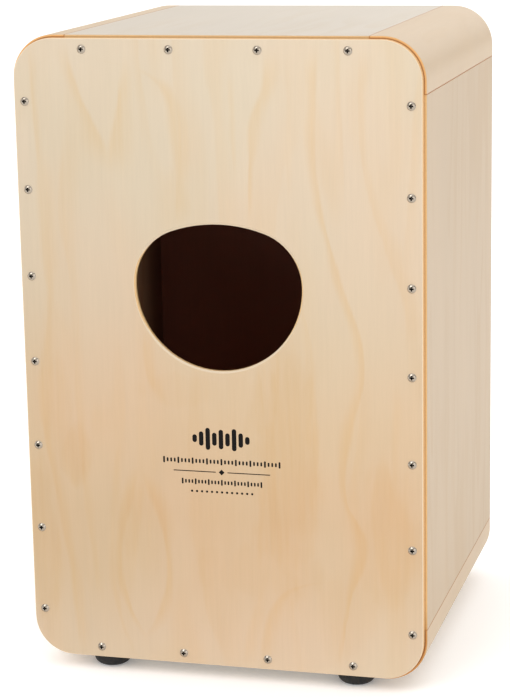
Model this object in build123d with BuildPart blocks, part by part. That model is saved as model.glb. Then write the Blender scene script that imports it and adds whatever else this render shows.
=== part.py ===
from build123d import *

import os
from math import asin, cos, degrees, hypot, radians, sin

# Cajon: a box drum with moulded round corners, a sound hole at the rear and a snare unit inside.
#
# Frame: +Z up, +X to the player's right, +Y to the front, where the playing surface is.
# The rear panel with the sound hole faces -Y. The origin is on the floor, below the box's middle.

# Driving dimensions, in millimetres and degrees
width = 310.0
depth = 300.0
body_height = 480.0

wall = 18.0
corner_outer_radius = 32.0
corner_leg = 41.0
body_edge_radius = 1.2
seam_chamfer = 0.35

rear_thickness = 5.0
playing_thickness = 3.0
panel_inset = 2.2
panel_edge_radius = 0.8

hole_top = 343.0
hole_top_radius = 106.5
hole_top_sweep = 19.5
hole_shoulder_radius = 42.0
hole_shoulder_end = 88.0
hole_outer_chamfer = 1.4
hole_inner_chamfer = 0.8

spline_thickness = 4.0
spline_width = 16.0
spline_gap = 0.2
spline_end_margin = 30.0

screw_edge_distance = 10.2
row_screw_spacing = 66.25
row_screw_count = 4
side_screw_spacing = 65.5
side_screw_count = 7
side_screw_drop = 5.25

head_radius = 3.3
head_dome = 1.5
pan_head_height = 2.0
pan_head_round = 1.2
shank_radius = 1.6
shank_clearance = 0.05
screw_point_length = 5.0
recess_span = 3.5
recess_width = 1.2
recess_depth = 1.9
recess_taper = 12.0
panel_screw_length = 18.0
holder_screw_length = 15.0
plate_screw_length = 10.0
foot_screw_length = 17.0

foot_x = 97.5
foot_setback = 21.0
foot_height = 9.0
foot_radius = 14.5
foot_rest_radius = 9.0
foot_side_height = 3.0
foot_bulge = (0.74, 0.38)
foot_shank_clearance = 0.6
foot_bore_radius = 5.5
foot_bore_depth = 4.0
washer_radius = 5.0
washer_thickness = 1.0
washer_clearance = 0.45

bar_height = 345.0
bar_setback = 17.0
bar_side = 16.0
bar_edge_radius = 1.5
bar_end_clearance = 0.8
journal_radius = 4.5
journal_clearance = 0.05
journal_chamfer = 0.6
bush_length = 13.0
bush_edge_radius = 1.0
bush_end_gap = 0.5
slide_clearance = 0.3

holder_base = 4.0
holder_cheek = 4.0
holder_reach = 14.0
holder_length = 42.0
holder_base_height = 46.0
holder_corner_radius = 3.0
holder_mouth_chamfer = 1.5
holder_screw_offset = 18.0
holder_screw_setback = 14.0

plate_width = 70.0
plate_height = 14.0
plate_thickness = 1.2
plate_corner_radius = 1.5
plate_centre = 58.0
plate_screw_offset = 30.0
wire_count = 10
wire_spacing = 5.0
wire_radius = 1.1
wire_length = 100.0
wire_tip_gap = 0.3
wire_root_margin = 2.0

# Places that follow from the driving dimensions
tolerance = 0.01
rear_face = -depth / 2
front_face = depth / 2
body_rear = rear_face + rear_thickness
body_front = front_face - playing_thickness
body_depth = body_front - body_rear
body_bottom = foot_height
body_top = foot_height + body_height
body_middle = foot_height + body_height / 2
half_width = width / 2
half_height = body_height / 2
inner_half_width = half_width - wall
seam_x = half_width - corner_leg
seam_z = half_height - corner_leg

bar_y = body_front - bar_setback
bar_z = body_bottom + bar_height
slot_height = bar_side + 2 * slide_clearance
holder_front = bar_y + bar_side / 2 + slide_clearance + holder_cheek
holder_rear = holder_front - holder_length
holder_inner_x = inner_half_width - holder_base - holder_reach
bar_shoulder_x = holder_inner_x - bar_end_clearance
bush_outer_x = inner_half_width - holder_base - bush_end_gap
plate_face = bar_y + bar_side / 2 + plate_thickness

row_screws = [(i - (row_screw_count - 1) / 2) * row_screw_spacing for i in range(row_screw_count)]
side_screws = [
    body_middle - side_screw_drop + (i - (side_screw_count - 1) / 2) * side_screw_spacing
    for i in range(side_screw_count)
]
screw_places = (
    [(x, body_top - screw_edge_distance) for x in row_screws]
    + [(x, body_bottom + screw_edge_distance) for x in row_screws]
    + [(half_width - screw_edge_distance, z) for z in side_screws]
    + [(screw_edge_distance - half_width, z) for z in side_screws]
)
rear_screws = [Location((x, rear_face, z), (90, 0, 0)) for x, z in screw_places]
playing_screws = [Location((x, front_face, z), (-90, 0, 0)) for x, z in screw_places]

foot_places = {
    "foot_rear_left": (-foot_x, rear_face + foot_setback),
    "foot_rear_right": (foot_x, rear_face + foot_setback),
    "foot_front_left": (-foot_x, front_face - foot_setback),
    "foot_front_right": (foot_x, front_face - foot_setback),
}
washer_bottom = foot_bore_depth - washer_thickness
foot_screws = [Location((x, y, washer_bottom), (180, 0, 0)) for x, y in foot_places.values()]

holder_screw_x = inner_half_width - holder_base
holder_screw_y = holder_rear + holder_screw_setback
holder_screws = [
    Location((side * holder_screw_x, holder_screw_y, bar_z + dz), (0, -90 * side, 0))
    for side in (-1, 1)
    for dz in (-holder_screw_offset, holder_screw_offset)
]
plate_screws = [
    Location((side * plate_centre + dx, plate_face, bar_z), (-90, 0, 0))
    for side in (-1, 1)
    for dx in (-plate_screw_offset, plate_screw_offset)
]

spline_middle = (body_rear + body_front) / 2
spline_length = body_depth - 2 * spline_end_margin
spline_seats = [
    Location((sx * seam_x, spline_middle, body_middle + sz * (half_height - wall / 2)), (0, 0, 0))
    for sx in (-1, 1)
    for sz in (-1, 1)
] + [
    Location((sx * (half_width - wall / 2), spline_middle, body_middle + sz * seam_z), (0, 90, 0))
    for sx in (-1, 1)
    for sz in (-1, 1)
]


def save(part, name):
    """Label a finished piece and write it as its own STEP file."""
    part.label = name
    export_step(part, "parts/" + name + ".step")


def save_group(piece, locations, name):
    """Write one node that holds a copy of the same piece at each location."""
    with BuildPart() as group:
        with Locations(*locations):
            add(piece)
    save(group.part, name)


# Fasteners


def cross_recess(height):
    """Cut a cross recess into the top of the screw that is being built."""
    with BuildSketch(Plane.XY.offset(height)) as cross:
        Rectangle(recess_span, recess_width)
        Rectangle(recess_width, recess_span)
    extrude(cross.sketch, amount=-recess_depth, taper=recess_taper, mode=Mode.SUBTRACT)


def countersunk_screw(length):
    """A raised countersunk wood screw along Z: the rim of its head at z 0, its tip down."""
    cone = head_radius - shank_radius
    dome_radius = (head_radius**2 + head_dome**2) / (2 * head_dome)
    half_sweep = asin(head_radius / dome_radius) / 2
    dome_middle = (
        dome_radius * sin(half_sweep),
        head_dome - dome_radius * (1 - cos(half_sweep)),
    )
    with BuildPart() as screw:
        with BuildSketch(Plane.XZ):
            with BuildLine():
                Polyline(
                    (0, head_dome),
                    (0, -length),
                    (shank_radius, screw_point_length - length),
                    (shank_radius, -cone),
                    (head_radius, 0),
                )
                ThreePointArc((head_radius, 0), dome_middle, (0, head_dome))
            make_face()
        revolve(axis=Axis.Z)
        cross_recess(head_dome)
    return screw.part


def pan_screw(length):
    """A pan-head wood screw along Z: its head stands on z 0, its tip down."""
    with BuildPart() as screw:
        with BuildSketch(Plane.XZ):
            with BuildLine():
                Polyline(
                    (0, pan_head_height),
                    (0, -length),
                    (shank_radius, screw_point_length - length),
                    (shank_radius, 0),
                    (head_radius, 0),
                    (head_radius, pan_head_height),
                    (0, pan_head_height),
                )
            make_face()
        revolve(axis=Axis.Z)
        fillet(screw.faces().sort_by(Axis.Z)[-1].edges(), pan_head_round)
        cross_recess(pan_head_height)
    return screw.part


def drill(locations, length):
    """Drill the screws' own holes into the piece that is being built."""
    with Locations(*locations):
        Hole(radius=shank_radius + shank_clearance, depth=length + shank_clearance)


def countersink(locations, thickness):
    """Drill and countersink a sheet for raised countersunk screws."""
    with Locations(*locations):
        CounterSinkHole(
            radius=shank_radius + shank_clearance,
            counter_sink_radius=head_radius + shank_clearance,
            depth=thickness,
            counter_sink_angle=90,
        )


# Body: four flat panels and four moulded corners, joined by hidden splines


def on_seam(edge):
    """True for a long outer edge where a flat panel meets a corner."""
    centre = edge.center()
    x = abs(centre.X)
    z = abs(centre.Z - body_middle)
    on_top = abs(x - seam_x) < tolerance and abs(z - half_height) < tolerance
    on_side = abs(x - half_width) < tolerance and abs(z - seam_z) < tolerance
    return on_top or on_side


def on_end_rim(edge):
    """True for an edge at the body's rear or front end that lies on its outer surface."""
    start = edge.position_at(0)
    middle = edge.position_at(0.5)
    at_rear = abs(start.Y - body_rear) + abs(middle.Y - body_rear) < tolerance
    at_front = abs(start.Y - body_front) + abs(middle.Y - body_front) < tolerance
    past_x = max(abs(middle.X) - half_width + corner_outer_radius, 0)
    past_z = max(abs(middle.Z - body_middle) - half_height + corner_outer_radius, 0)
    on_outside = abs(hypot(past_x, past_z) - corner_outer_radius) < tolerance
    return (at_rear or at_front) and on_outside


def finish_body_piece(piece):
    """Ease the outer edges of a body piece, then cut its spline grooves and pilot holes."""
    chamfer(piece.edges().filter_by(on_seam), seam_chamfer)
    fillet(piece.edges().filter_by(on_end_rim), body_edge_radius)
    with Locations(*spline_seats):
        Box(
            spline_width + 2 * spline_gap,
            spline_length + 2 * spline_gap,
            spline_thickness,
            mode=Mode.SUBTRACT,
        )
    drill(rear_screws, panel_screw_length)
    drill(playing_screws, panel_screw_length)
    drill(foot_screws, foot_screw_length)
    drill(holder_screws, holder_screw_length)


def flat_panel(name, centre_x, centre_z, size_x, size_z):
    """A flat plywood panel of the body."""
    with BuildPart() as panel:
        with BuildSketch(Plane.XZ.offset(-body_front)):
            with Locations((centre_x, centre_z)):
                Rectangle(size_x, size_z)
        extrude(amount=body_depth)
        finish_body_piece(panel)
    save(panel.part, name)


def corner_piece(name, side, level):
    """A moulded corner; side is -1 for left and 1 for right, level -1 for bottom and 1 for top."""

    def place(from_side, from_end):
        return (side * (half_width - from_side), body_middle + level * (half_height - from_end))

    radius = corner_outer_radius
    outer_bow = radius * (1 - cos(radians(45)))
    inner_bow = radius - (radius - wall) * cos(radians(45))
    with BuildPart() as corner:
        with BuildSketch(Plane.XZ.offset(-body_front)):
            with BuildLine():
                Line(place(corner_leg, 0), place(radius, 0))
                ThreePointArc(place(radius, 0), place(outer_bow, outer_bow), place(0, radius))
                Polyline(
                    place(0, radius),
                    place(0, corner_leg),
                    place(wall, corner_leg),
                    place(wall, radius),
                )
                ThreePointArc(place(wall, radius), place(inner_bow, inner_bow), place(radius, wall))
                Polyline(place(radius, wall), place(corner_leg, wall), place(corner_leg, 0))
            make_face()
        extrude(amount=body_depth)
        finish_body_piece(corner)
    save(corner.part, name)


def corner_splines():
    """The eight plywood splines that lock the corners to the flat panels."""
    with BuildPart() as splines:
        with Locations(*spline_seats):
            Box(spline_width, spline_length, spline_thickness)
    save(splines.part, "corner_splines")


# Panels


def sound_hole():
    """The sound hole's face, a rounded triangle: a flat top, two shoulders and a round bottom."""

    def out(centre_x, centre_z, radius, angle):
        return (centre_x + radius * sin(radians(angle)), centre_z + radius * cos(radians(angle)))

    top_z = body_bottom + hole_top - hole_top_radius
    shoulder = out(0, top_z, hole_top_radius - hole_shoulder_radius, hole_top_sweep)
    bottom_radius = hole_shoulder_radius + shoulder[0] / sin(radians(hole_shoulder_end))
    bottom_z = shoulder[1] - (bottom_radius - hole_shoulder_radius) * cos(radians(hole_shoulder_end))
    top_right = out(0, top_z, hole_top_radius, hole_top_sweep)
    middle_angle = (hole_top_sweep + hole_shoulder_end) / 2
    shoulder_right = out(shoulder[0], shoulder[1], hole_shoulder_radius, middle_angle)
    side_right = out(shoulder[0], shoulder[1], hole_shoulder_radius, hole_shoulder_end)
    top_left = (-top_right[0], top_right[1])
    shoulder_left = (-shoulder_right[0], shoulder_right[1])
    side_left = (-side_right[0], side_right[1])
    with BuildSketch(Plane.XZ.offset(-body_rear)) as outline:
        with BuildLine():
            ThreePointArc(top_left, (0, top_z + hole_top_radius), top_right)
            ThreePointArc(top_right, shoulder_right, side_right)
            ThreePointArc(side_right, (0, bottom_z - bottom_radius), side_left)
            ThreePointArc(side_left, shoulder_left, top_left)
        make_face()
    return outline.sketch


def panel_outline():
    """The outline that both panels share, set in from the body's outer surface."""
    with Locations((0, body_middle)):
        RectangleRounded(
            width - 2 * panel_inset,
            body_height - 2 * panel_inset,
            corner_outer_radius - panel_inset,
        )


def rear_panel():
    """The rear panel, with the sound hole."""
    with BuildPart() as panel:
        with BuildSketch(Plane.XZ.offset(-body_rear)):
            panel_outline()
        extrude(amount=rear_thickness)
        extrude(sound_hole(), amount=rear_thickness, mode=Mode.SUBTRACT)
        outside = panel.faces().sort_by(Axis.Y)[0]
        inside = panel.faces().sort_by(Axis.Y)[-1]
        outer_hole_rim = outside.inner_wires()[0].edges()
        inner_hole_rim = inside.inner_wires()[0].edges()
        outline = outside.outer_wire().edges()
        chamfer(outer_hole_rim, hole_outer_chamfer)
        chamfer(inner_hole_rim, hole_inner_chamfer)
        fillet(outline, panel_edge_radius)
        countersink(rear_screws, rear_thickness)
    save(panel.part, "rear_panel")


def playing_panel():
    """The thin playing surface at the front."""
    with BuildPart() as panel:
        with BuildSketch(Plane.XZ.offset(-front_face)):
            panel_outline()
        extrude(amount=playing_thickness)
        outside = panel.faces().sort_by(Axis.Y)[-1]
        fillet(outside.outer_wire().edges(), panel_edge_radius)
        countersink(playing_screws, playing_thickness)
    save(panel.part, "playing_panel")


# Feet


def rubber_feet():
    """Four domed rubber feet, each with a counterbore for its washer and screw."""
    rise = foot_height - foot_side_height
    reach = foot_radius - foot_rest_radius
    shank_hole = shank_radius + foot_shank_clearance
    bulge = (foot_rest_radius + foot_bulge[0] * reach, foot_bulge[1] * rise)
    with BuildPart() as foot:
        with BuildSketch(Plane.XZ):
            with BuildLine():
                Line((foot_bore_radius, 0), (foot_rest_radius, 0))
                ThreePointArc((foot_rest_radius, 0), bulge, (foot_radius, rise))
                Polyline(
                    (foot_radius, rise),
                    (foot_radius, foot_height),
                    (shank_hole, foot_height),
                    (shank_hole, foot_bore_depth),
                    (foot_bore_radius, foot_bore_depth),
                    (foot_bore_radius, 0),
                )
            make_face()
        revolve(axis=Axis.Z)
    for name, (x, y) in foot_places.items():
        with BuildPart() as placed:
            with Locations((x, y, 0)):
                add(foot.part)
        save(placed.part, name)


def foot_washers():
    """The steel washers that sit inside the feet."""
    with BuildPart() as washer:
        with BuildSketch(Plane.XY.offset(washer_bottom)):
            Circle(washer_radius)
            Circle(shank_radius + washer_clearance, mode=Mode.SUBTRACT)
        extrude(amount=washer_thickness)
    places = [Location((x, y, 0)) for x, y in foot_places.values()]
    save_group(washer.part, places, "foot_washers")


# Snare unit: two holders on the side walls, and a bar that turns and slides out of them


def on_slot_mouth(edge):
    """True for an edge of a holder that lies along the top or bottom of its slot."""
    return abs(abs(edge.center().Z - bar_z) - slot_height / 2) < tolerance


def snare_holder(name, side):
    """A U-shaped holder whose slot is open to the rear."""
    middle_y = (holder_front + holder_rear) / 2
    slot_length = holder_length - holder_cheek
    with BuildPart() as holder:
        with BuildSketch(Plane.YZ.offset(side * inner_half_width)):
            with Locations((middle_y, bar_z)):
                RectangleRounded(holder_length, holder_base_height, holder_corner_radius)
        extrude(amount=-side * holder_base)
        with BuildSketch(Plane.YZ.offset(side * holder_screw_x)):
            with Locations((middle_y, bar_z)):
                Rectangle(holder_length, slot_height + 2 * holder_cheek)
            with Locations((holder_rear + slot_length / 2, bar_z)):
                Rectangle(slot_length, slot_height, mode=Mode.SUBTRACT)
        extrude(amount=-side * holder_reach)
        rear_edges = holder.edges().filter_by(Axis.X).filter_by_position(
            Axis.Y, holder_rear - tolerance, holder_rear + tolerance
        )
        chamfer(rear_edges.filter_by(on_slot_mouth), holder_mouth_chamfer)
        countersink(holder_screws, holder_base)
    save(holder.part, name)


def snare_bush(name, start_x):
    """A rubber end block: square outside, to slide in the holder, and bored for the bar."""
    with BuildPart() as bush:
        with BuildSketch(Plane.YZ.offset(start_x)):
            with Locations((bar_y, bar_z)):
                RectangleRounded(bar_side, bar_side, bush_edge_radius)
                Circle(journal_radius + journal_clearance, mode=Mode.SUBTRACT)
        extrude(amount=bush_length)
    save(bush.part, name)


def snare_bar():
    """The beech bar: square along its length, turned down to a journal at each end."""
    with BuildPart() as bar:
        with BuildSketch(Plane.YZ):
            with Locations((bar_y, bar_z)):
                RectangleRounded(bar_side, bar_side, bar_edge_radius)
        extrude(amount=bar_shoulder_x, both=True)
        with BuildSketch(Plane.YZ):
            with Locations((bar_y, bar_z)):
                Circle(journal_radius)
        extrude(amount=bush_outer_x, both=True)
        ends = bar.faces().filter_by(Axis.X).sort_by(Axis.X)
        chamfer([ends[0].edges(), ends[-1].edges()], journal_chamfer)
        drill(plate_screws, plate_screw_length)
    save(bar.part, "snare_bar")


def snare_plate(name, centre_x):
    """The steel strip that the snare wires are soldered to."""
    with BuildPart() as plate:
        with BuildSketch(Plane.XZ.offset(-plate_face)):
            with Locations((centre_x, bar_z)):
                RectangleRounded(plate_width, plate_height, plate_corner_radius)
        extrude(amount=plate_thickness)
        drill(plate_screws, plate_thickness)
    save(plate.part, name)


def snare_wires(name, centre_x):
    """Ten coiled snare wires as plain rods, leaning to end just short of the playing surface."""
    root_y = plate_face + wire_radius
    root_z = bar_z - plate_height / 2 + wire_root_margin
    tip_y = body_front - wire_tip_gap - wire_radius
    lean = degrees(asin((tip_y - root_y) / wire_length))
    places = [
        Location((centre_x + (i - (wire_count - 1) / 2) * wire_spacing, root_y, root_z), (-lean, 0, 0))
        for i in range(wire_count)
    ]
    with BuildPart() as wires:
        with Locations(*places):
            Cylinder(wire_radius, wire_length, align=(Align.CENTER, Align.CENTER, Align.MIN))
    save(wires.part, name)


os.makedirs("parts", exist_ok=True)

flat_panel("top_panel", 0, body_top - wall / 2, 2 * seam_x, wall)
flat_panel("bottom_panel", 0, body_bottom + wall / 2, 2 * seam_x, wall)
flat_panel("left_panel", wall / 2 - half_width, body_middle, wall, 2 * seam_z)
flat_panel("right_panel", half_width - wall / 2, body_middle, wall, 2 * seam_z)
corner_piece("corner_top_left", -1, 1)
corner_piece("corner_top_right", 1, 1)
corner_piece("corner_bottom_left", -1, -1)
corner_piece("corner_bottom_right", 1, -1)
corner_splines()

rear_panel()
playing_panel()
save_group(countersunk_screw(panel_screw_length), rear_screws, "rear_panel_screws")
save_group(countersunk_screw(panel_screw_length), playing_screws, "playing_panel_screws")

rubber_feet()
foot_washers()
save_group(pan_screw(foot_screw_length), foot_screws, "foot_screws")

snare_holder("snare_holder_left", -1)
snare_holder("snare_holder_right", 1)
save_group(countersunk_screw(holder_screw_length), holder_screws, "snare_holder_screws")
snare_bush("snare_bush_left", -bush_outer_x)
snare_bush("snare_bush_right", bush_outer_x - bush_length)
snare_bar()
snare_plate("snare_plate_left", -plate_centre)
snare_plate("snare_plate_right", plate_centre)
save_group(pan_screw(plate_screw_length), plate_screws, "snare_plate_screws")
snare_wires("snare_wires_left", -plate_centre)
snare_wires("snare_wires_right", plate_centre)
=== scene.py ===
"""Looks for the cajon: veneer, plies, metal, rubber, snare coils, a printed mark, floor, light and camera."""
from math import cos, pi, radians, sin

import bmesh
import bpy
from mathutils import Matrix, Vector


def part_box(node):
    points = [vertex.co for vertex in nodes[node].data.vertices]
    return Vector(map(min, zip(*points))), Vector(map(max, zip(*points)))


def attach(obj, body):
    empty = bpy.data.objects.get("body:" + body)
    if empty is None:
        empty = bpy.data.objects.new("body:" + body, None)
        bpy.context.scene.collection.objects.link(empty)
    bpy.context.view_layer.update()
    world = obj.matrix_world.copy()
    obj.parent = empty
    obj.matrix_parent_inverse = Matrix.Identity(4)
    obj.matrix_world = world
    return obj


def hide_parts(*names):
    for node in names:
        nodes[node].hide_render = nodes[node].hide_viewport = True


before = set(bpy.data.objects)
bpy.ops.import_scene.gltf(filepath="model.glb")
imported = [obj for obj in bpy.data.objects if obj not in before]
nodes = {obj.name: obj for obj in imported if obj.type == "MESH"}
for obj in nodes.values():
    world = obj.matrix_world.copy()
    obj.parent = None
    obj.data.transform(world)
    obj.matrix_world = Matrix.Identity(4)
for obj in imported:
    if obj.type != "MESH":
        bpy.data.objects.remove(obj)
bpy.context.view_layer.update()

MM = 0.001

# Places and sizes of the CAD frame that the materials follow, in metres
body_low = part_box("corner_bottom_left")[0]
body_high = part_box("corner_top_right")[1]
half_width = body_high.x
half_height = (body_high.z - body_low.z) / 2
body_middle = (body_high.z + body_low.z) / 2
rear_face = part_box("rear_panel")[0].y
rear_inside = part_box("rear_panel")[1].y
front_inside, front_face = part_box("playing_panel")[0].y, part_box("playing_panel")[1].y
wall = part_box("left_panel")[1].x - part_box("left_panel")[0].x
corner_radius = 32 * MM
seam_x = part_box("top_panel")[1].x
seam_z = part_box("left_panel")[1].z - body_middle
# Curves and ramps run from 0 to 1 over this height
height_reach = 500 * MM
# Thickness of the plies, of the face veneer and of the inner skin that carries the inside colour
body_ply = 1.42 * MM
panel_ply = 1.0 * MM
face_veneer = 0.1 * MM
inner_skin = 0.3 * MM
# Distance from a seam's middle where its line starts to show and where it is full
seam_fade = (0.6 * MM, 0.3 * MM)
# On the body's end faces the tint of the plies changes over these depths, darkening beside the panels as
# painted shade in the nook, and over these heights, darkening near the floor as painted shade
rim_depths = (0.9 * MM, 2.0 * MM)
low_rim_shade_heights = (70 * MM, 40 * MM)
# Painted shade darkens the inside over this distance from the playing panel
inside_shade_reach = (80 * MM, 8 * MM)
# The Mix node's colour sockets
MIX_A, MIX_B, MIX_RESULT = 6, 7, 2


def srgb(red, green, blue, light=1.0):
    """The paint that shows as these display values, 0 to 255, in light of this strength."""
    shares = (red / 255, green / 255, blue / 255)
    linear = [s / 12.92 if s <= 0.04045 else ((s + 0.055) / 1.055) ** 2.4 for s in shares]
    return tuple(value / light for value in linear)


# Node graphs


class Graph:
    """Short names for building the node graph of one material."""

    def __init__(self, name):
        self.material = bpy.data.materials.new(name)
        self.material.use_nodes = True
        self.tree = self.material.node_tree
        self.shader = self.tree.nodes["Principled BSDF"]
        place = self.node("ShaderNodeTexCoord")
        self.point = place.outputs["Object"]
        self.x, self.y, self.z = self.split(self.point)
        facing = self.split(place.outputs["Normal"])
        self.facing = [self.math("ABSOLUTE", axis) for axis in facing]

    def node(self, kind, **settings):
        made = self.tree.nodes.new(kind)
        for key, value in settings.items():
            setattr(made, key, value)
        return made

    def put(self, socket, value):
        if isinstance(value, bpy.types.NodeSocket):
            self.tree.links.new(value, socket)
        elif socket.type == "RGBA":
            socket.default_value = (*value, 1)
        else:
            socket.default_value = value

    def math(self, kind, *values):
        made = self.node("ShaderNodeMath", operation=kind)
        for socket, value in zip(made.inputs, values):
            self.put(socket, value)
        return made.outputs[0]

    def split(self, vector):
        made = self.node("ShaderNodeSeparateXYZ")
        self.put(made.inputs[0], vector)
        return made.outputs[:]

    def join(self, x, y, z):
        made = self.node("ShaderNodeCombineXYZ")
        for socket, value in zip(made.inputs, (x, y, z)):
            self.put(socket, value)
        return made.outputs[0]

    def noise(self, vector, stretch, detail=2.0, roughness=0.5, seed=0.0):
        """Noise from 0 to 1 with the given number of blobs per metre along each axis."""
        placed = self.node("ShaderNodeMapping")
        self.put(placed.inputs["Vector"], vector)
        placed.inputs["Scale"].default_value = stretch
        placed.inputs["Location"].default_value = (seed, seed, seed)
        made = self.node("ShaderNodeTexNoise")
        self.put(made.inputs["Vector"], placed.outputs[0])
        made.inputs["Scale"].default_value = 1
        made.inputs["Detail"].default_value = detail
        made.inputs["Roughness"].default_value = roughness
        return made.outputs[0]

    def ramp(self, value, low, high, start=0.0, end=1.0):
        """Turns low..high smoothly into start..end."""
        made = self.node("ShaderNodeMapRange", interpolation_type="SMOOTHSTEP")
        for socket, setting in zip(made.inputs, (value, low, high, start, end)):
            self.put(socket, setting)
        return made.outputs[0]

    def mix(self, amount, a, b, kind="MIX"):
        made = self.node("ShaderNodeMix", data_type="RGBA", blend_type=kind)
        self.put(made.inputs[0], amount)
        self.put(made.inputs[MIX_A], a)
        self.put(made.inputs[MIX_B], b)
        return made.outputs[MIX_RESULT]

    def shade(self, colour, amount):
        """Lightens or darkens a colour by a number near 1."""
        return self.mix(1.0, colour, self.join(amount, amount, amount), "MULTIPLY")

    def bump(self, height, depth):
        """Bump whose height of 1 stands depth metres proud."""
        made = self.node("ShaderNodeBump")
        made.inputs["Strength"].default_value = 1
        made.inputs["Distance"].default_value = depth
        self.put(made.inputs["Height"], height)
        self.put(self.shader.inputs["Normal"], made.outputs[0])

    def finish(self, settings):
        for name, value in settings.items():
            self.put(self.shader.inputs[name], value)
        return self.material


def dress(material, *names):
    """Gives CAD nodes their material."""
    for name in names:
        for place in nodes[name].material_slots:
            place.material = material


# Wood


def fibres(graph, across, along, seed):
    """Brightness near 1 for the fine fibres and short pores that every veneer here has."""
    point = graph.join(across, along, seed)
    fine = graph.noise(point, (1900, 40, 1), 2, 0.6, seed)
    coarse = graph.noise(point, (420, 16, 1), 2, 0.5, seed + 3)
    soft = graph.noise(point, (50, 9, 1), 2, 0.5, seed + 7)
    level = graph.math("MULTIPLY_ADD", fine, 0.07, 0.965)
    level = graph.math("MULTIPLY_ADD", coarse, 0.06, graph.math("ADD", level, -0.03))
    return graph.math("MULTIPLY_ADD", soft, 0.05, graph.math("ADD", level, -0.025)), fine


def wandering(graph, across, along, seed, sway, feather=2.5 * MM):
    """The across coordinate, bent as the grain wanders from side to side and feathered by its fibres."""
    point = graph.join(across, along, seed)
    slow = graph.noise(point, (9, 4, 1), 2, 0.5, seed)
    quick = graph.noise(point, (30, 22, 1), 2, 0.5, seed + 1)
    threads = graph.noise(point, (800, 10, 1), 2, 0.6, seed + 2)
    for noise, reach in ((slow, sway), (quick, 0.45 * sway), (threads, feather)):
        bend = graph.math("MULTIPLY_ADD", noise, reach, -0.5 * reach)
        across = graph.math("ADD", across, bend)
    return across


def flames(graph, across, along, seed, stretch, levels):
    """Soft wavy growth lines, from 0 to 1: contours of a stretched noise, faded along their length."""
    point = graph.join(across, along, seed)
    field = graph.noise(point, stretch, 2, 0.45, seed)
    wave = graph.math("FRACT", graph.math("MULTIPLY", field, levels))
    rise = graph.ramp(wave, 0.25, 0.8)
    fall = graph.ramp(wave, 0.98, 0.84)
    line = graph.math("MULTIPLY", rise, fall)
    fade = graph.ramp(graph.noise(point, (16, 4, 1), 2, 0.5, seed + 5), 0.36, 0.62)
    return graph.math("MULTIPLY", line, fade)


def tinted(graph, colour, figure, tint):
    """A colour with the growth lines laid over it as a tint."""
    return graph.mix(1.0, colour, graph.mix(figure, (1.0, 1.0, 1.0), tint), "MULTIPLY")


# Growth lines of the rear panel: soft reach to the left and right and strength, then
# (height, across) from low to high, in mm
growth_lines = [
    (4, 9, 0.8, (12, -116), (35, -117), (140, -130), (200, -140), (290, -132), (390, -136), (482, -140)),
    (20, 7, 1.0, (392, -82), (425, -93), (450, -103), (482, -112)),
    (7, 20, 0.95, (388, -81), (425, -74), (448, -69), (470, -66)),
    (6, 14, 1.0, (345, -30), (420, -29), (445, -34), (460, -47), (468, -70)),
    (4, 4, 0.6, (380, 15), (465, 13)),
    (4, 11, 1.0, (350, 26), (400, 27), (430, 30), (455, 40), (478, 42)),
    (3, 7, 0.4, (370, 55), (480, 57)),
    (
        9, 3, 1.0, (20, 90), (70, 98), (115, 108), (150, 94), (200, 97),
        (247, 109), (320, 90), (390, 76), (480, 77),
    ),
    (3, 12, 0.7, (262, 143), (300, 140), (335, 128), (390, 113), (480, 109)),
    (8, 3, 0.6, (140, 71), (225, 71), (310, 61)),
    (4, 12, 0.8, (218, -46), (240, -55), (275, -57)),
    (8, 4, 1.0, (30, -63), (60, -77), (100, -81), (140, -73), (166, -64)),
    (4, 10, 1.0, (30, -63), (60, -48), (95, -43), (130, -49), (166, -64)),
    (4, 6, 0.5, (14, -72), (60, -86), (120, -87), (195, -78)),
    (4, 9, 0.9, (12, 30), (50, 36), (72, 48), (80, 62), (84, 80)),
    (4, 8, 0.6, (12, 16), (45, 22), (72, 30)),
    (3, 6, 0.5, (60, -100), (150, -108), (230, -112), (300, -108)),
    (5, 3, 0.4, (90, 28), (190, 34), (250, 30)),
    (3, 5, 0.4, (60, 128), (150, 131), (240, 134)),
]
# Broad darker patches of the rear panel: across, height, half width, half height in mm, and strength
growth_patches = [
    (48, 168, 30, 110, 1.0),
    (-116, 172, 16, 26, 0.9),
    (-128, 205, 12, 60, 0.6),
    (-30, 226, 40, 16, 0.5),
    (30, 88, 60, 26, 0.5),
    (-60, 118, 22, 40, 0.4),
    (-146, 95, 16, 95, 0.8),
    (128, 120, 30, 60, 0.6),
    (96, 60, 26, 50, 0.4),
]
# Colour of the rear panel by height in mm
rear_tones = [
    (9, (230, 205, 174)),
    (35, (226, 199, 168)),
    (75, (221, 192, 157)),
    (130, (219, 188, 151)),
    (200, (223, 193, 157)),
    (290, (225, 201, 171)),
    (380, (228, 208, 181)),
    (480, (233, 214, 188)),
]


longest_fade = 25 * MM


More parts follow.
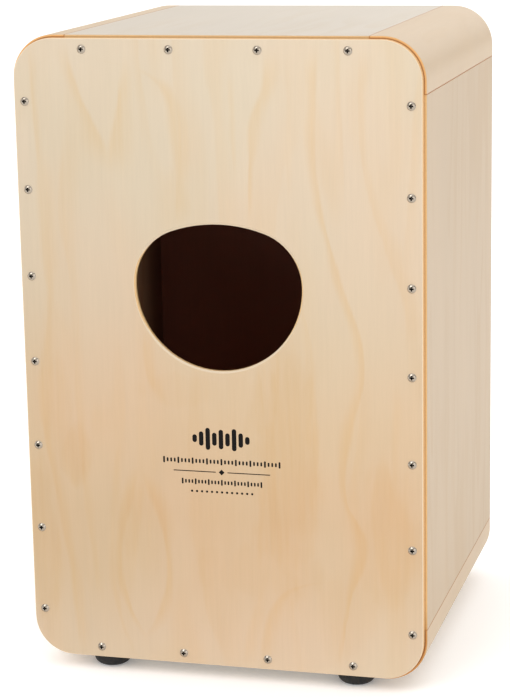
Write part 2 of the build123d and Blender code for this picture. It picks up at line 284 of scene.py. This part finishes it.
def growth_line(graph, across, breadth, left, right, strength, points):
    """One darker line, crisp on one side and soft on the other, that fades at its ends."""
    curve = graph.node("ShaderNodeFloatCurve")
    line = curve.mapping.curves[0]
    places = [(height * MM / height_reach, x * MM / height_reach + 0.5) for height, x in points]
    line.points[0].location = places[0]
    line.points[1].location = places[-1]
    for place in places[1:-1]:
        line.points.new(*place)
    curve.mapping.update()
    graph.put(curve.inputs["Value"], graph.math("DIVIDE", graph.z, height_reach))
    centre = graph.math("MULTIPLY_ADD", curve.outputs[0], height_reach, -0.5 * height_reach)
    gap = graph.math("SUBTRACT", across, centre)
    to_right = graph.math("DIVIDE", gap, right * MM)
    to_left = graph.math("DIVIDE", gap, -left * MM)
    share = graph.math("DIVIDE", graph.math("MAXIMUM", to_right, to_left), breadth)
    low, high = points[0][0] * MM, points[-1][0] * MM
    fade = min(longest_fade, (high - low) / 3)
    body = graph.ramp(share, 1.0, 0.0, 0.0, strength)
    body = graph.math("MULTIPLY", body, graph.ramp(graph.z, low - fade / 3, low + fade))
    return graph.math("MULTIPLY", body, graph.ramp(graph.z, high + fade / 3, high - fade))


def growth_patch(graph, across, ragged, x, z, half_x, half_z, strength):
    """One broad darker patch with a ragged edge."""
    side = graph.math("DIVIDE", graph.math("SUBTRACT", across, x * MM), half_x * MM)
    rise = graph.math("DIVIDE", graph.math("SUBTRACT", graph.z, z * MM), half_z * MM)
    spread = graph.math("ADD", graph.math("POWER", side, 2.0), graph.math("POWER", rise, 2.0))
    return graph.ramp(graph.math("ADD", spread, ragged), 1.2, 0.2, 0.0, strength)


def ply_layers(graph, depth, thickness, seed):
    """Edge colour of plywood by depth below its face: pale and tan plies with dark glue lines."""
    layer = graph.math("DIVIDE", depth, thickness)
    place = graph.math("FRACT", layer)
    odd = graph.math("GREATER_THAN", graph.math("FRACT", graph.math("DIVIDE", layer, 2.0)), 0.5)
    pores = graph.noise(graph.point, (900, 900, 900), 2, 0.5, seed)
    colour = graph.mix(odd, srgb(234, 190, 130), srgb(236, 203, 152))
    colour = graph.shade(colour, graph.math("MULTIPLY_ADD", pores, 0.24, 0.88))
    glue = graph.ramp(graph.math("ABSOLUTE", graph.math("SUBTRACT", place, 0.94)), 0.16, 0.04)
    return graph.mix(glue, colour, srgb(206, 150, 90))


def lacquered(graph, colour, fine, gloss=0.4, polish=0.2):
    """Satin lacquer over open-pored wood, with more polish where it is rubbed."""
    graph.bump(fine, 0.02 * MM)
    return graph.finish(
        {
            "Base Color": colour,
            "Roughness": graph.math("MULTIPLY_ADD", fine, 0.12, gloss),
            "Specular IOR Level": 0.35,
            "Coat Weight": polish,
            "Coat Roughness": 0.3,
        }
    )


# Painted shade: the playing panel's inside made dark, standing in for the shade deep inside the box
inner_shade = srgb(142, 84, 66)
inner_wall = srgb(232, 194, 156)
# Painted shade: the inside's far end, beside the playing panel, darkened as its shade
far_wall_shade = srgb(120, 80, 60)
# Bare wood of the eased edges, made paler than the face as a painted highlight
pale_edge_and_highlight = srgb(221, 201, 173)
joint_line = srgb(174, 118, 62)
# Painted shade: the end faces' plies darker and warmer near the floor, where less light falls
low_rim_shade = (0.73, 0.61, 0.39)
cool_tint = (0.98, 1.0, 0.995)
rosy_tint = (1.015, 0.99, 0.98)
line_tint = (0.995, 0.925, 0.81)
patch_tint = (0.97, 0.90, 0.79)


def tones_by_height(graph, tones, light):
    """One colour that changes smoothly with height."""
    made = graph.node("ShaderNodeValToRGB")
    graph.put(made.inputs["Fac"], graph.math("DIVIDE", graph.z, height_reach))
    stops = made.color_ramp.elements
    for _ in tones[2:]:
        stops.new(0.5)
    for stop, (height, tone) in zip(stops, tones):
        stop.position = height * MM / height_reach
        stop.color = (*srgb(*tone, light), 1)
    return made.outputs["Color"]


def eased_edges(graph, colour, edge, depth):
    """A panel's face colour on its flat, bare pale wood with a painted highlight on its eased edges, wider on
    edges facing up or down, and plies on its sides.
    """
    facing = graph.facing[1]
    # Painted highlight: the pale band reaches deeper on edges that face up or down
    highlight_depth = graph.ramp(graph.facing[2], 0.2, 0.6, 0.5 * MM, 1.6 * MM)
    pale = graph.mix(graph.math("GREATER_THAN", depth, highlight_depth), pale_edge_and_highlight, edge)
    colour = graph.mix(graph.ramp(facing, 0.985, 0.93), colour, pale)
    return graph.mix(graph.ramp(facing, 0.55, 0.3), colour, edge)


def rear_panel_wood():
    """Birch with a drawn figure: cool and pale at the top, warm below the hole, pale at the foot, with
    painted shade towards -X.
    """
    graph = Graph("rear_panel_birch")
    across = wandering(graph, graph.x, graph.z, 2.0, 9 * MM)
    level, fine = fibres(graph, graph.x, graph.z, 4.0)
    colour = tones_by_height(graph, rear_tones, 1.28)
    # Painted shade: the panel darker towards -X and lighter towards +X, as its light falls
    side = graph.ramp(graph.x, -half_width, half_width, 0.965, 1.035)
    colour = graph.shade(colour, side)
    hue = graph.noise(graph.join(across, graph.z, 6.0), (11, 6, 1), 2, 0.5, 22.0)
    hue = graph.mix(graph.ramp(hue, 0.32, 0.68), cool_tint, rosy_tint)
    colour = graph.mix(1.0, colour, hue, "MULTIPLY")
    patches = graph.math("MULTIPLY", flames(graph, across, graph.z, 14.0, (6, 2.0, 1), 3.0), 0.3)
    ragged = graph.noise(graph.join(across, graph.z, 5.0), (45, 16, 1), 3, 0.55, 18.0)
    ragged = graph.math("MULTIPLY_ADD", ragged, 2.4, -1.2)
    for patch in growth_patches:
        patches = graph.math("MAXIMUM", patches, growth_patch(graph, across, ragged, *patch))
    streaky = graph.noise(graph.join(graph.x, graph.z, 3.0), (260, 12, 1), 3, 0.6, 12.0)
    patches = graph.math("MULTIPLY", patches, graph.ramp(streaky, 0.3, 0.7, 0.6, 1.0))
    colour = tinted(graph, colour, patches, patch_tint)
    breadth = graph.noise(graph.join(across, graph.z, 8.0), (10, 12, 1), 1, 0.5, 16.0)
    breadth = graph.ramp(breadth, 0.3, 0.7, 0.45, 1.5)
    lines = graph.math("MULTIPLY", flames(graph, across, graph.z, 9.0, (14, 2.6, 1), 6.0), 0.5)
    for left, right, strength, *points in growth_lines:
        line = growth_line(graph, across, breadth, left, right, strength, points)
        lines = graph.math("MAXIMUM", lines, line)
    lines = graph.math("MULTIPLY", lines, graph.ramp(streaky, 0.25, 0.65, 0.7, 1.0))
    colour = tinted(graph, colour, lines, line_tint)
    colour = graph.shade(colour, level)
    depth = graph.math("SUBTRACT", graph.y, rear_face)
    edge = ply_layers(graph, depth, panel_ply, 20.0)
    colour = eased_edges(graph, colour, edge, depth)
    inside = graph.math("GREATER_THAN", graph.y, rear_inside - inner_skin)
    colour = graph.mix(inside, colour, graph.shade(inner_wall, level))
    return lacquered(graph, colour, fine)


def cathedral_lines():
    """Growth lines of a flat-sawn sheet: arches one inside the other, then straighter lines beside them."""
    lines = []
    for i, peak in enumerate((120, 205, 280, 350, 410, 462)):
        foot, strength = 14 + 15 * i, (1.0, 0.7, 0.9, 0.6, 0.9, 0.7)[i]
        for side in (-1, 1):
            shape = ((12, foot), (0.45 * peak, 0.84 * foot), (0.8 * peak, 0.5 * foot), (peak, 0.0))
            branch = [(height, 12 + side * across) for height, across in shape]
            soft, crisp = (9, 3) if side < 0 else (3, 9)
            lines.append((soft, crisp, strength, *branch))
    for across, strength in ((-132, 0.8), (-112, 0.5), (118, 0.9), (138, 0.5)):
        lines.append((5, 5, strength, (5, across), (250, across + 6), (490, across - 4)))
    return lines


def playing_panel_wood():
    """The playing surface: birch with an arched figure, painted dark on the inside as shade."""
    graph = Graph("playing_panel_birch")
    across = wandering(graph, graph.x, graph.z, 31.0, 14 * MM)
    level, fine = fibres(graph, graph.x, graph.z, 33.0)
    cloud = graph.noise(graph.join(across, graph.z, 35.0), (8, 3, 1), 2, 0.5, 2.0)
    pale, warm = srgb(229, 208, 178, 1.15), srgb(224, 198, 162, 1.15)
    colour = graph.mix(graph.ramp(cloud, 0.3, 0.7), pale, warm)
    breadth = graph.noise(graph.join(across, graph.z, 38.0), (10, 12, 1), 1, 0.5, 36.0)
    breadth = graph.ramp(breadth, 0.3, 0.7, 0.5, 1.6)
    lines = graph.math("MULTIPLY", flames(graph, across, graph.z, 37.0, (12, 2, 1), 6.0), 0.5)
    for left, right, strength, *points in cathedral_lines():
        line = growth_line(graph, across, breadth, left, right, strength, points)
        lines = graph.math("MAXIMUM", lines, line)
    colour = graph.shade(tinted(graph, colour, lines, line_tint), level)
    depth = graph.math("SUBTRACT", front_face, graph.y)
    edge = ply_layers(graph, depth, panel_ply, 24.0)
    colour = eased_edges(graph, colour, edge, depth)
    inside = graph.math("LESS_THAN", graph.y, front_inside + inner_skin)
    # Painted shade on the playing panel's inside
    colour = graph.mix(inside, colour, graph.shade(inner_shade, graph.math("POWER", level, 2.0)))
    return lacquered(graph, colour, fine)


def depth_below_surface(graph):
    """Depth below the body's rounded outer surface, seen along the body's depth."""
    beside = graph.math("SUBTRACT", graph.math("ABSOLUTE", graph.x), half_width - corner_radius)
    height = graph.math("ABSOLUTE", graph.math("SUBTRACT", graph.z, body_middle))
    above = graph.math("SUBTRACT", height, half_height - corner_radius)
    beside = graph.math("POWER", graph.math("MAXIMUM", beside, 0.0), 2.0)
    above = graph.math("POWER", graph.math("MAXIMUM", above, 0.0), 2.0)
    reach = graph.math("SQRT", graph.math("ADD", beside, above))
    return graph.math("SUBTRACT", corner_radius, reach)


def near_seams(graph):
    """1 on the hairline joints between the flat panels and the corner pieces."""
    beside = graph.math("SUBTRACT", graph.math("ABSOLUTE", graph.x), seam_x)
    height = graph.math("ABSOLUTE", graph.math("SUBTRACT", graph.z, body_middle))
    above = graph.math("SUBTRACT", height, seam_z)
    gap = graph.math("MINIMUM", graph.math("ABSOLUTE", beside), graph.math("ABSOLUTE", above))
    return graph.ramp(gap, *seam_fade)


def body_wood(name, across, along, seed, skin, figure_strength, rim_tones_and_shade, polish):
    """Body plywood: veneer outside, tinted plies on the end faces with painted shade beside the panels and
    near the floor, brown joint lines, and a pale inside darkened by painted shade towards the playing panel.
    """
    graph = Graph(name)
    across, along = getattr(graph, across), getattr(graph, along)
    bent = wandering(graph, across, along, seed, 16 * MM)
    level, fine = fibres(graph, bent, along, seed + 1)
    figure = flames(graph, bent, along, seed + 2, (26, 3.2, 1), 5.0)
    figure = graph.math("MULTIPLY", figure, figure_strength)
    cloud = graph.noise(graph.join(bent, along, seed), (12, 3, 1), 2, 0.5, seed + 4)
    colour = graph.shade(skin, graph.math("MULTIPLY_ADD", cloud, 0.1, 0.95))
    colour = graph.shade(tinted(graph, colour, figure, (0.96, 0.92, 0.85)), level)
    depth = depth_below_surface(graph)
    plies = ply_layers(graph, graph.math("ADD", depth, -face_veneer), body_ply, seed + 3)
    # Painted shade: the plies darken towards the panel, in the nook between the panel and the body
    tone = graph.mix(graph.ramp(depth, *rim_depths), *rim_tones_and_shade)
    plies = graph.mix(1.0, plies, tone, "MULTIPLY")
    # Painted shade near the floor
    plies = tinted(graph, plies, graph.ramp(graph.z, *low_rim_shade_heights), low_rim_shade)
    colour = graph.mix(graph.ramp(graph.facing[1], 0.35, 0.8), colour, plies)
    colour = graph.mix(near_seams(graph), colour, joint_line)
    inside = graph.math("GREATER_THAN", depth, wall - inner_skin)
    # Painted shade: the inner walls darken towards the playing panel
    inside_shade_amount = graph.ramp(graph.y, front_inside - inside_shade_reach[0], front_inside - inside_shade_reach[1])
    bare = graph.shade(graph.mix(inside_shade_amount, inner_wall, far_wall_shade), graph.math("POWER", level, 2.0))
    colour = graph.mix(inside, colour, tinted(graph, bare, figure, (0.93, 0.86, 0.76)))
    return lacquered(graph, colour, fine, 0.44, polish)


def plain_wood(name, tone, dark, seed):
    """Solid or unseen wood with its grain along X, such as the snare bar."""
    graph = Graph(name)
    level, fine = fibres(graph, graph.z, graph.x, seed)
    rays = graph.noise(graph.point, (60, 700, 700), 2, 0.6, seed + 2)
    colour = graph.mix(graph.ramp(rays, 0.5, 0.75, 0.0, 0.6), tone, dark)
    return lacquered(graph, graph.shade(colour, level), fine, 0.5)


# Metal, rubber and plastic


# Painted shade darkens the metal within this distance of a recess's walls
recess_shade_distance = 1.2 * MM


def metal(name, tone, rough, brushed, seed):
    """Plated steel with faint handling marks, and painted shade darkening its recesses."""
    graph = Graph(name)
    marks = graph.noise(graph.point, brushed, 3, 0.6, seed)
    recess_occlusion = graph.node("ShaderNodeAmbientOcclusion", samples=8, only_local=True)
    recess_occlusion.inputs["Distance"].default_value = recess_shade_distance
    # Painted shade: the base colour darkens in the recesses
    shade = graph.ramp(recess_occlusion.outputs["AO"], 0.52, 0.97, 0.02, 1.0)
    graph.bump(marks, 0.01 * MM)
    return graph.finish(
        {
            "Base Color": graph.shade(graph.mix(marks, tone, [0.8 * value for value in tone]), shade),
            "Metallic": 1.0,
            "Roughness": graph.math("MULTIPLY_ADD", marks, 0.15, rough),
        }
    )


def moulded(name, tone, rough, grain, seed):
    """Moulded rubber or plastic with a fine eroded texture and a little dust."""
    graph = Graph(name)
    skin = graph.noise(graph.point, (grain, grain, grain), 3, 0.6, seed)
    dust = graph.noise(graph.point, (120, 120, 120), 3, 0.6, seed + 1)
    colour = graph.mix(graph.ramp(dust, 0.5, 0.8, 0.0, 0.08), tone, (0.3, 0.28, 0.25))
    graph.bump(skin, 0.05 * MM)
    roughness = graph.math("MULTIPLY_ADD", skin, 0.2, rough)
    return graph.finish({"Base Color": colour, "Roughness": roughness, "Specular IOR Level": 0.4})


def ink():
    """Black printing ink, a little thin where the grain shows through."""
    graph = Graph("black_ink")
    grain = graph.noise(graph.point, (1900, 40, 60), 2, 0.6, 3.0)
    colour = graph.mix(grain, (0.003, 0.003, 0.003), (0.012, 0.010, 0.009))
    roughness = graph.math("MULTIPLY_ADD", grain, 0.2, 0.6)
    return graph.finish({"Base Color": colour, "Roughness": roughness, "Specular IOR Level": 0.1})


def dress_everything():
    # Painted light: the corner pieces' paint is brighter than the flat sides', making up for the lesser light
    # on their curves
    side_skin, bent_skin_lightened = srgb(221, 195, 162, 1.33), srgb(221, 195, 162, 1.2)
    # Partly painted reflection: the top is paler and greyer than the sides, standing in for the sheen of its
    # lacquer at a glancing view
    top_skin_and_sheen = srgb(225, 210, 189, 1.3)
    # Tints of the end faces' plies: at the outer skin, and beside the panel, where the darker tint is painted
    # shade in the nook; the top's grey tints are partly painted shade too
    side_rim = ((0.86, 0.83, 0.78), (0.76, 0.66, 0.60))
    top_rim = ((0.76, 0.76, 0.76), (0.66, 0.64, 0.64))
    corner_rim = ((0.88, 0.77, 0.64), (0.44, 0.25, 0.13))
    side = body_wood("side_birch", "y", "z", 50.0, side_skin, 0.9, side_rim, 0.1)
    top = body_wood("top_birch", "x", "y", 60.0, top_skin_and_sheen, 0.6, top_rim, 0.35)
    bent = body_wood("corner_birch", "x", "y", 70.0, bent_skin_lightened, 0.4, corner_rim, 0.1)
    dress(side, "left_panel", "right_panel")
    dress(top, "top_panel", "bottom_panel")
    dress(bent, "corner_top_left", "corner_top_right", "corner_bottom_left", "corner_bottom_right")
    dress(plain_wood("spline_birch", srgb(222, 186, 132), srgb(190, 144, 92), 80.0), "corner_splines")
    dress(rear_panel_wood(), "rear_panel")
    dress(playing_panel_wood(), "playing_panel")
    nickel = metal("nickel", (0.44, 0.38, 0.31), 0.16, (900, 900, 900), 1.0)
    dress(nickel, "rear_panel_screws", "playing_panel_screws", "snare_plate_screws")
    dress(nickel, "snare_holder_screws", "foot_screws")
    zinc = metal("zinc_plated_steel", (0.66, 0.66, 0.67), 0.28, (60, 60, 2200), 5.0)
    dress(zinc, "foot_washers", "snare_plate_left", "snare_plate_right")
    rubber = moulded("black_rubber", (0.008, 0.008, 0.0085), 0.5, 1500, 7.0)
    dress(rubber, "foot_rear_left", "foot_rear_right", "foot_front_left", "foot_front_right")
    plastic = moulded("black_plastic", (0.022, 0.022, 0.023), 0.42, 2500, 9.0)
    dress(plastic, "snare_holder_left", "snare_holder_right")
    soft_rubber = moulded("grey_rubber", (0.045, 0.045, 0.047), 0.6, 1200, 11.0)
    dress(soft_rubber, "snare_bush_left", "snare_bush_right")
    dress(plain_wood("beech", srgb(208, 164, 118), srgb(168, 118, 76), 90.0), "snare_bar")


# Snare wires


wires_per_side = 10
coil_radius = 0.85 * MM
wire_radius = 0.25 * MM
coil_pitch = 0.8 * MM
coil_steps = 9
wire_sides = 5
coil_lead = 4 * MM
# How far the wires' ends stand inside the plain rods they replace
coil_margin = 1.1 * MM
end_margin = 0.2 * MM


def coil_path(start, end):
    """Centreline of one snare wire: a straight lead, a long close coil and a straight tail."""
    axis = (end - start).normalized()
    side = Vector((1, 0, 0))
    up = axis.cross(side)
    length = (end - start).length
    turns = int((length - 2 * coil_lead) / coil_pitch)
    steps = turns * coil_steps
    path = [start]
    for step in range(steps + 1):
        angle = 2 * pi * step / coil_steps
        along = coil_lead + (length - 2 * coil_lead) * step / steps
        ease = min(1.0, step / coil_steps, (steps - step) / coil_steps)
        spoke = (cos(angle) * side + sin(angle) * up) * coil_radius * ease
        path.append(start + axis * along + spoke)
    path.append(end)
    return path


def sweep(mesh, path, radius, sides):
    """A round closed tube along a path."""
    rings = []
    side = Vector((1, 0, 0))
    for place, point in enumerate(path):
        before = path[max(place - 1, 0)]
        after = path[min(place + 1, len(path) - 1)]
        along = (after - before).normalized()
        side = (side - along * side.dot(along)).normalized()
        other = along.cross(side)
        angles = [2 * pi * i / sides for i in range(sides)]
        ring = [mesh.verts.new(point + radius * (cos(a) * side + sin(a) * other)) for a in angles]
        rings.append(ring)
    for lower, upper in zip(rings, rings[1:]):
        for i in range(sides):
            j = (i + 1) % sides
            mesh.faces.new((lower[i], lower[j], upper[j], upper[i]))
    mesh.faces.new(rings[0][::-1])
    mesh.faces.new(rings[-1])


def add_piece(name, mesh, material, body):
    """Turns a finished bmesh into a piece that rides on a body."""
    data = bpy.data.meshes.new(name)
    bmesh.ops.recalc_face_normals(mesh, faces=mesh.faces)
    mesh.to_mesh(data)
    mesh.free()
    data.materials.append(material)
    piece = bpy.data.objects.new(name, data)
    bpy.context.scene.collection.objects.link(piece)
    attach(piece, body)
    return piece


def snare_coils(name, node, material):
    """Ten coiled wires in the place of the plain rods of the CAD node."""
    low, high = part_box(node)
    spacing = (high.x - low.x - 2 * coil_margin) / (wires_per_side - 1)
    mesh = bmesh.new()
    for i in range(wires_per_side):
        x = low.x + coil_margin + i * spacing
        start = Vector((x, low.y + coil_margin, low.z + end_margin))
        end = Vector((x, high.y - coil_margin, high.z - end_margin))
        sweep(mesh, coil_path(start, end), wire_radius, wire_sides)
    for face in mesh.faces:
        face.smooth = True
    piece = add_piece(name, mesh, material, "snare_beam")
    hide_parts(node)


# Printed mark


mark_height = 190 * MM
mark_bars = (6, 11, 17, 10, 15, 10, 17, 11, 6)
mark_bar_gap = 5.1 * MM
mark_bar_width = 3.5 * MM
rule_height = 164.5 * MM
rule_length = 33 * MM
rule_gap = 4.5 * MM
rule_width = 0.7 * MM
# Rows of beat ticks and dots: height on the panel, number, spacing, tall tick, tick width
mark_rows = [
    (172.5 * MM, 33, 2.8 * MM, 5.0 * MM, 1.4 * MM),
    (156.5 * MM, 25, 2.55 * MM, 4.6 * MM, 1.3 * MM),
]
dot_row = (149.0 * MM, 13, 3.9 * MM, 1.8 * MM)
ink_thickness = 0.04 * MM
ink_sink = 0.02 * MM
cap_steps = 8
dot_sides = 12
# Every fourth tick is tall, and the others stand this share of it
beat = 4
short_tick = 0.64


def add_flat(mesh, x, z, outline):
    """A thin printed shape on the rear panel's face."""
    outer, inner = rear_face - ink_thickness, rear_face + ink_sink
    front = [mesh.verts.new((x + a, outer, z + b)) for a, b in outline]
    back = [mesh.verts.new((x + a, inner, z + b)) for a, b in outline]
    mesh.faces.new(front)
    mesh.faces.new(back[::-1])
    for i in range(len(front)):
        j = (i + 1) % len(front)
        mesh.faces.new((front[j], front[i], back[i], back[j]))


def add_bar(mesh, x, z, length, width, upright):
    """A printed bar with round ends."""
    half = (length - width) / 2
    outline = []
    for end in (1, -1):
        for step in range(cap_steps + 1):
            angle = pi * step / cap_steps
            across, along = cos(angle) * width / 2, sin(angle) * width / 2 + half
            outline.append((end * across, end * along) if upright else (end * along, end * across))
    add_flat(mesh, x, z, outline if upright else outline[::-1])


def add_dot(mesh, x, z, width, sides):
    """A printed dot, or a diamond when it has four sides."""
    turns = [2 * pi * step / sides for step in range(sides)]
    add_flat(mesh, x, z, [(cos(turn) * width / 2, sin(turn) * width / 2) for turn in turns])


def printed_mark():
    """A plain generic print under the hole: sound bars, a rule and rows of beat ticks and dots."""
    mesh = bmesh.new()
    first = -mark_bar_gap * (len(mark_bars) - 1) / 2
    for i, tall in enumerate(mark_bars):
        add_bar(mesh, first + i * mark_bar_gap, mark_height, tall * MM, mark_bar_width, True)
    for side in (-1, 1):
        x = side * (rule_gap + rule_length / 2)
        add_bar(mesh, x, rule_height, rule_length, rule_width, False)
    add_dot(mesh, 0, rule_height, rule_gap, 4)
    for height, count, gap, tall, width in mark_rows:
        for i in range(count):
            x = (i - (count - 1) / 2) * gap
            add_bar(mesh, x, height, tall if i % beat == 0 else short_tick * tall, width, True)
    height, count, gap, width = dot_row
    for i in range(count):
        add_dot(mesh, (i - (count - 1) / 2) * gap, height, width, dot_sides)
    add_piece("printed_mark", mesh, ink(), "root")


# Floor, light and camera


floor_radius = 12
floor_glow = 0.18
surround = (0.65, 0.65, 0.65)
# Suns: name, azimuth and elevation in degrees, strength, and width in degrees
suns = [
    ("key_light", -30, 42, 0.9, 35),
    ("fill_light", 42, 14, 0.45, 40),
    ("top_light", 60, 78, 0.6, 60),
    ("back_light", 170, 35, 0.7, 60),
    ("left_light", -105, 12, 0.6, 40),
]


def make_floor():
    """A wide plain floor under the feet."""
    mesh = bmesh.new()
    bmesh.ops.create_circle(mesh, cap_ends=True, segments=96, radius=floor_radius)
    data = bpy.data.meshes.new("floor")
    mesh.to_mesh(data)
    mesh.free()
    graph = Graph("pale_floor")
    cloud = graph.noise(graph.point, (3, 3, 3), 2, 0.5, 1.0)
    colour = graph.mix(cloud, (0.93, 0.93, 0.93), (0.95, 0.95, 0.95))
    paint = {"Base Color": colour, "Roughness": 0.9, "Specular IOR Level": 0.1}
    paint.update({"Emission Color": (1.0, 1.0, 1.0), "Emission Strength": floor_glow})
    data.materials.append(graph.finish(paint))
    floor = bpy.data.objects.new("floor", data)
    bpy.context.scene.collection.objects.link(floor)


def add_sun(name, azimuth, elevation, strength, width):
    """A wide soft sun; azimuth 0 shines along +Y, onto the rear panel, and grows as it moves to +X."""
    data = bpy.data.lights.new(name, "SUN")
    data.energy = strength
    data.angle = radians(width)
    sun = bpy.data.objects.new(name, data)
    bpy.context.scene.collection.objects.link(sun)
    sun.rotation_euler = (radians(90 - elevation), 0, radians(azimuth))


def make_light():
    """Even studio light: a pale surround and five wide soft lights."""
    world = bpy.data.worlds.new("studio")
    world.use_nodes = True
    tree = world.node_tree
    backdrop = tree.nodes["Background"]
    sight = tree.nodes.new("ShaderNodeLightPath")
    tone = tree.nodes.new("ShaderNodeMix")
    tone.data_type = "RGBA"
    tone.inputs[MIX_A].default_value = (*surround, 1)
    tone.inputs[MIX_B].default_value = (1, 1, 1, 1)
    tree.links.new(sight.outputs["Is Camera Ray"], tone.inputs[0])
    tree.links.new(tone.outputs[MIX_RESULT], backdrop.inputs["Color"])
    bpy.context.scene.world = world
    for sun in suns:
        add_sun(*sun)
    bpy.context.scene.view_settings.view_transform = "Standard"


# Camera place in metres, its angles in degrees and its focal length in mm
camera_place = (0.4479, -1.6959, 0.6231)
camera_turn, camera_dip, camera_roll = 15.21, 12.76, -1.06
camera_lens = 115.3


def make_camera():
    """A plain long-lens camera, to the right of the sound hole and a little above the box."""
    data = bpy.data.cameras.new("camera")
    data.lens = camera_lens
    data.clip_end = 50
    camera = bpy.data.objects.new("camera", data)
    bpy.context.scene.collection.objects.link(camera)
    turn = Matrix.Rotation(radians(camera_turn), 4, "Z")
    tilt = Matrix.Rotation(radians(90 - camera_dip), 4, "X")
    roll = Matrix.Rotation(radians(camera_roll), 4, "Z")
    camera.matrix_world = Matrix.Translation(camera_place) @ turn @ tilt @ roll
    bpy.context.scene.camera = camera


dress_everything()
wire_steel = metal("snare_steel", (0.72, 0.72, 0.73), 0.2, (400, 400, 400), 15.0)
snare_coils("snare_coils_left", "snare_wires_left", wire_steel)
snare_coils("snare_coils_right", "snare_wires_right", wire_steel)
printed_mark()
make_floor()
make_light()
make_camera()
